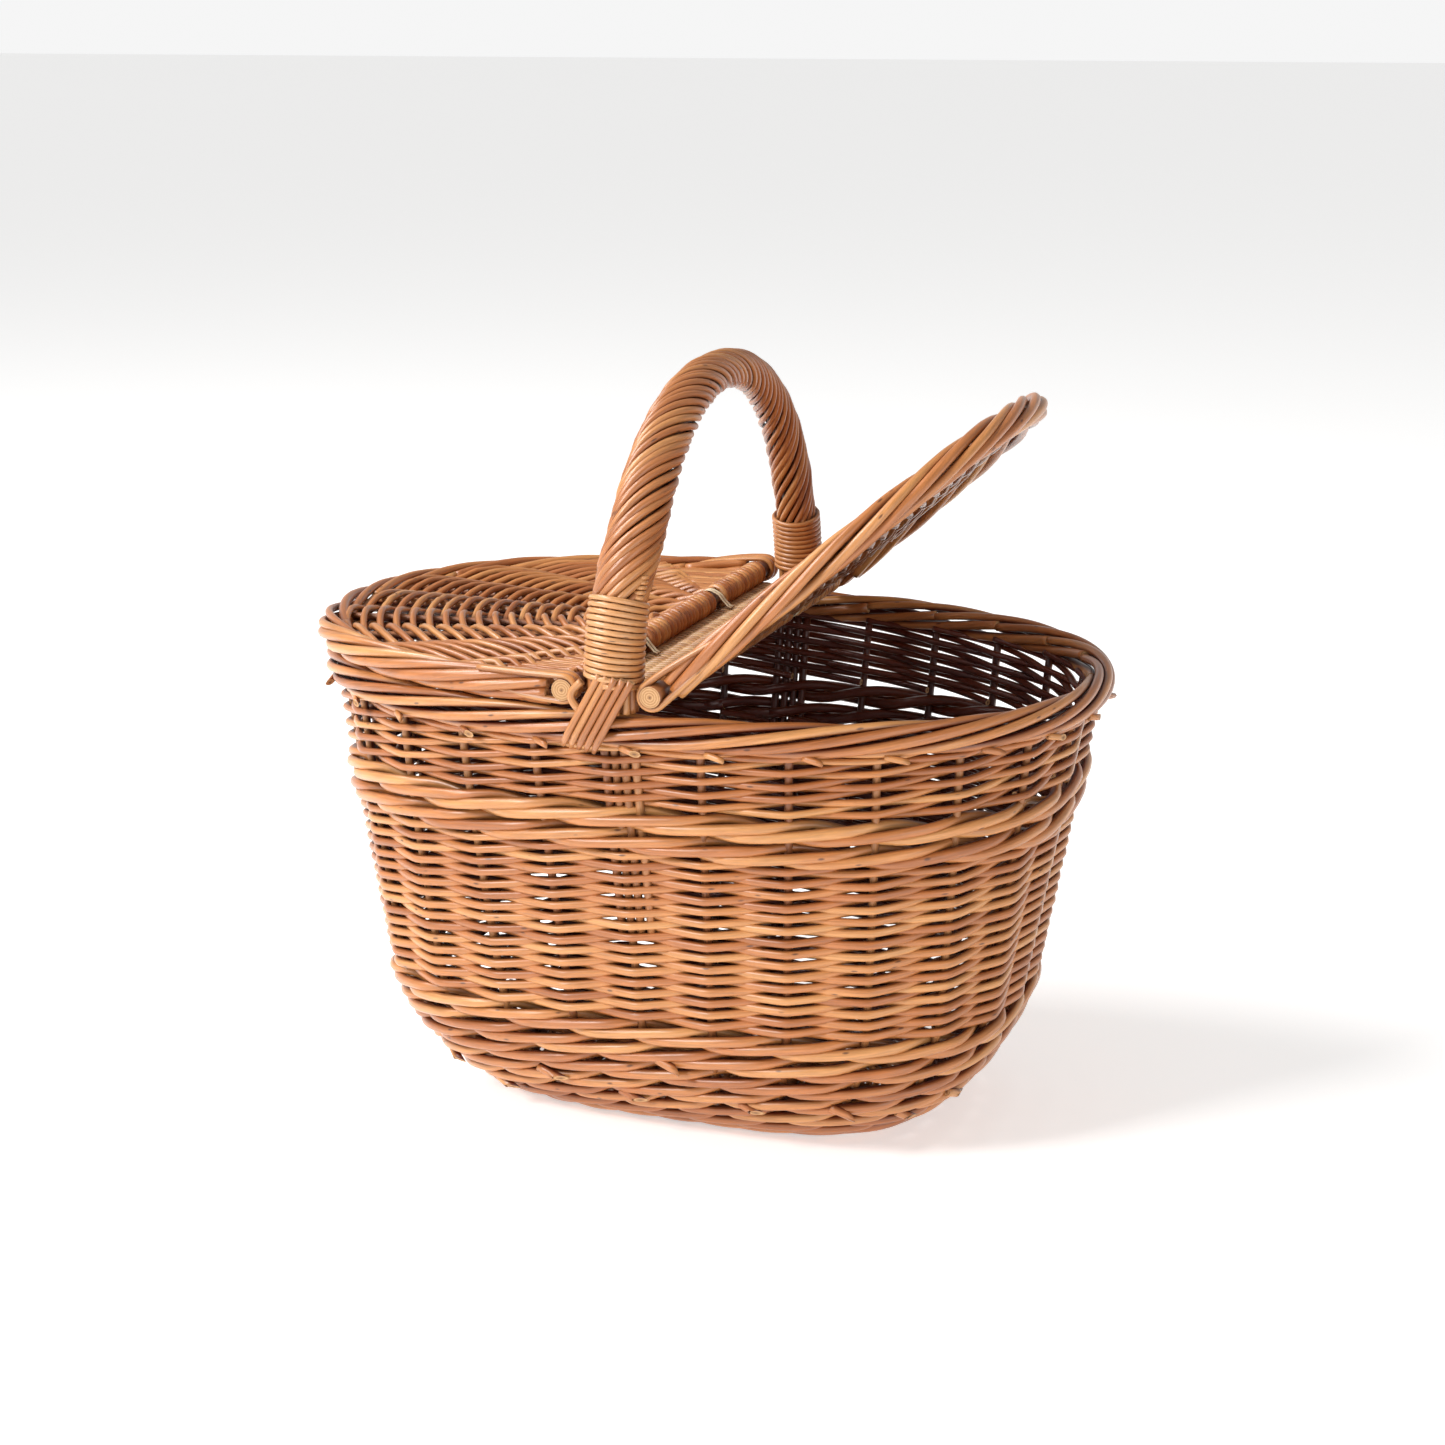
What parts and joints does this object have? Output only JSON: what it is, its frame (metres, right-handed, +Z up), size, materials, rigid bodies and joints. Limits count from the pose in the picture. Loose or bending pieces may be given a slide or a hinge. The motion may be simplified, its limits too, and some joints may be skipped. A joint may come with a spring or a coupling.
{
  "type": "wicker picnic basket",
  "caption": "Oval wicker picnic basket with a roped arch handle over the middle and a hinged woven lid on each side of it",
  "frame": {"origin": "centre of the flat underside of the base, on the table", "axes": "+Z up; X along the basket's length, +X towards the open lid; Y across it, with -Y the front; the handle arches over in the plane X = 0"},
  "size_m": [0.455, 0.3396, 0.4341],
  "materials": {
    "buff_willow_weave": "satin buff willow, finely woven",
    "willow_stick": "satin buff willow sticks",
    "willow_wale": "satin buff willow rods, heavy",
    "willow_roping": "satin buff willow rods, twisted",
    "willow_skein": "satin split willow skein",
    "pale_skein_weave": "pale split willow skein, woven",
    "pale_skein": "pale split willow skein"
  },
  "bodies": {
    "basket": {"base_weave": "buff_willow_weave", "base_cross_sticks": "willow_stick", "base_long_sticks": "willow_stick", "upsett_wale": "willow_wale", "lower_siding": "buff_willow_weave", "mid_wale": "willow_wale", "upper_siding": "buff_willow_weave", "stakes": "willow_stick", "border": "willow_wale", "front_handle_liners": "willow_stick", "rear_handle_liners": "willow_stick", "handle_bow": "willow_stick", "handle_roping": "willow_roping", "front_collar": "willow_skein", "rear_collar": "willow_skein", "front_handle_tails": "willow_roping", "rear_handle_tails": "willow_roping", "bridge_sticks": "willow_stick", "bridge_weave": "pale_skein_weave", "left_front_hinge_loop": "pale_skein", "left_rear_hinge_loop": "pale_skein", "right_front_hinge_loop": "pale_skein", "right_rear_hinge_loop": "pale_skein"},
    "left_lid": {"left_hinge_stick": "willow_stick", "left_stick_wrapping": "buff_willow_weave", "left_lid_ribs": "willow_stick", "left_lid_weave": "buff_willow_weave", "left_lid_border": "willow_wale", "left_front_border_turn": "willow_wale", "left_rear_border_turn": "willow_wale"},
    "right_lid": {"right_hinge_stick": "willow_stick", "right_stick_wrapping": "buff_willow_weave", "right_lid_ribs": "willow_stick", "right_lid_weave": "buff_willow_weave", "right_lid_border": "willow_wale", "right_front_border_turn": "willow_wale", "right_rear_border_turn": "willow_wale"}
  },
  "joints": [
    {"name": "left_lid_hinge", "type": "hinge", "parent": "basket", "child": "left_lid", "pos_m": [-0.0242, 0, 0.275], "axis": [0, 1, 0], "range_deg": [0, 88]},
    {"name": "right_lid_hinge", "type": "hinge", "parent": "basket", "child": "right_lid", "pos_m": [0.0242, 0, 0.275], "axis": [0, -1, 0], "range_deg": [-41.6, 46.4]}
  ]
}
